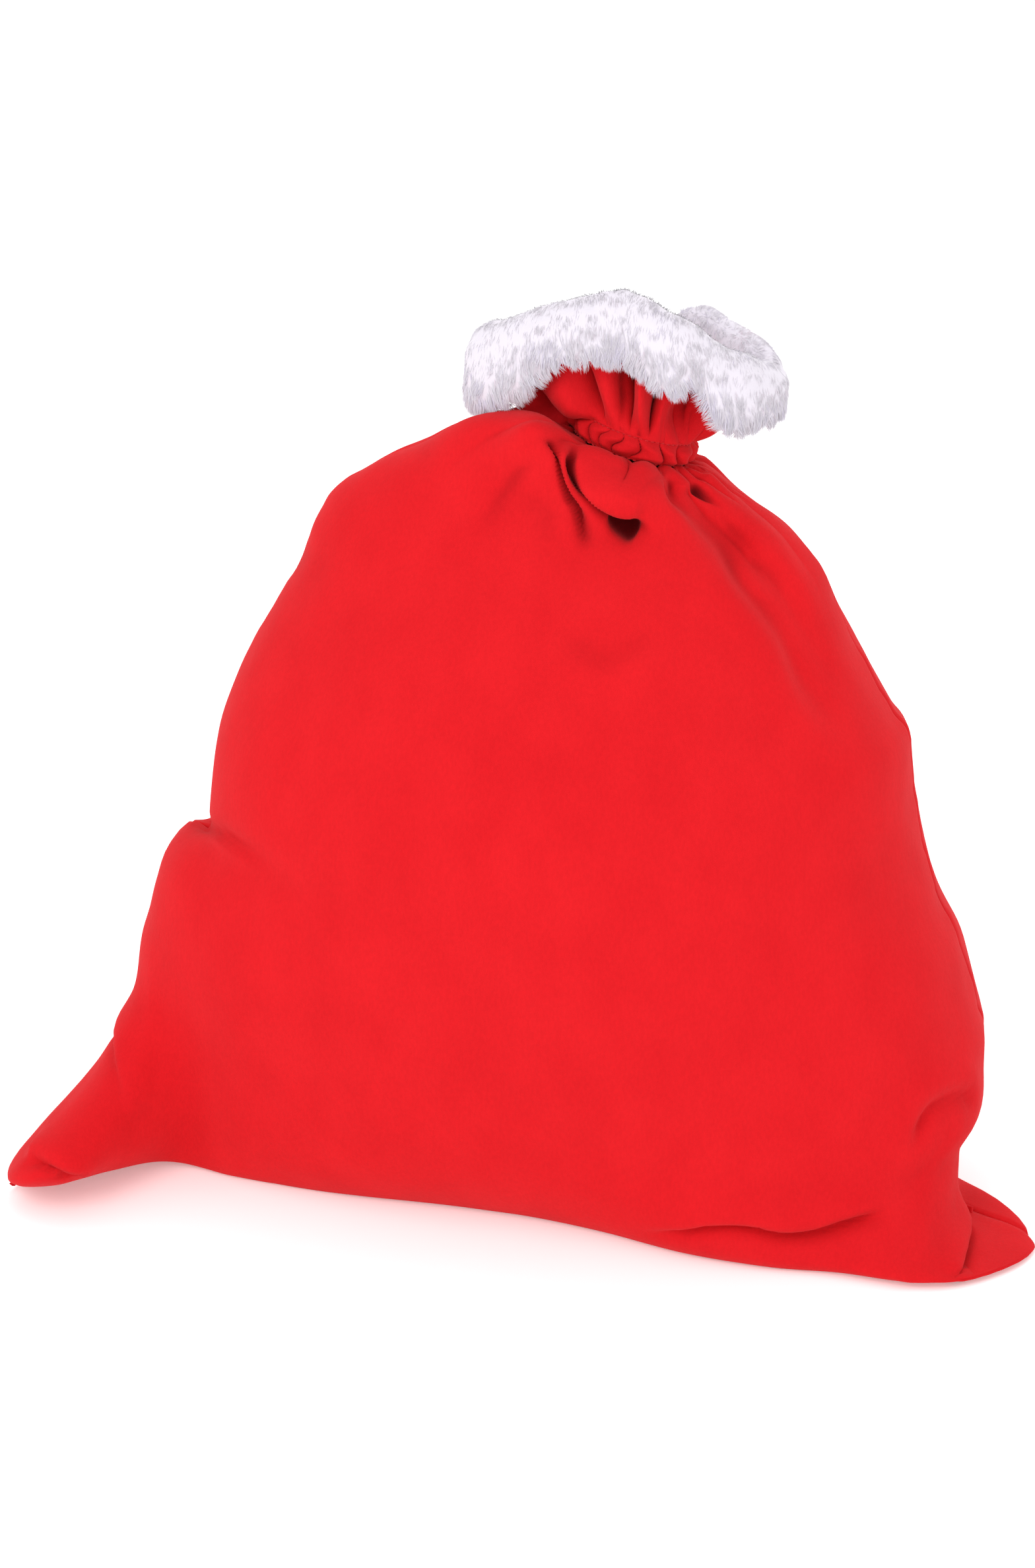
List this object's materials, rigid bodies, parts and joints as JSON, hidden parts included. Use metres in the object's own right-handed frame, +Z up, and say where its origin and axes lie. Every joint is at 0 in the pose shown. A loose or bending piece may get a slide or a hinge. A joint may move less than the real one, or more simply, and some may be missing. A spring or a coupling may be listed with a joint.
{
  "type": "fabric gift sack",
  "caption": "Filled fabric gift sack that stands on its base, with bottom corners that stick out, an elasticated gathered neck, a flared ruffle and a folded plush cuff round its mouth.",
  "frame": {"origin": "on the floor under the middle of the sack's body, a little in front of the bottom seam", "axes": "+Z up, front of the sack towards -Y, +X to the sack's right as seen from the front; the neck leans towards +X"},
  "size_m": [0.713, 0.3202, 0.6391],
  "materials": {
    "velour": "matte",
    "plush": "matte",
    "elastic": "matte",
    "thread": "satin"
  },
  "bodies": {
    "sack": {"front_panel": "velour", "back_panel": "velour", "left_seam_allowance": "velour", "right_seam_allowance": "velour", "bottom_seam_allowance": "velour"},
    "neck": {"casing_front": "velour", "casing_back": "velour", "channel_tape": "velour", "elastic_band": "elastic", "upper_stitch_row": "thread", "lower_stitch_row": "thread"},
    "front_lip": {"ruffle_front": "velour", "front_cuff": "plush", "front_cuff_stitching": "thread"},
    "back_lip": {"ruffle_back": "velour", "back_cuff": "plush", "back_cuff_stitching": "thread"}
  },
  "joints": [
    {"name": "neck_nod", "type": "hinge", "parent": "sack", "child": "neck", "pos_m": [0.07, 0, 0.525], "axis": [1, 0, 0], "range_deg": [-12, 12]},
    {"name": "front_lip_open", "type": "hinge", "parent": "neck", "child": "front_lip", "pos_m": [0.076, -0.044, 0.548], "axis": [1, 0, 0], "range_deg": [0, 18]},
    {"name": "back_lip_open", "type": "hinge", "parent": "neck", "child": "back_lip", "pos_m": [0.076, 0.044, 0.548], "axis": [-1, 0, 0], "range_deg": [0, 18]}
  ]
}
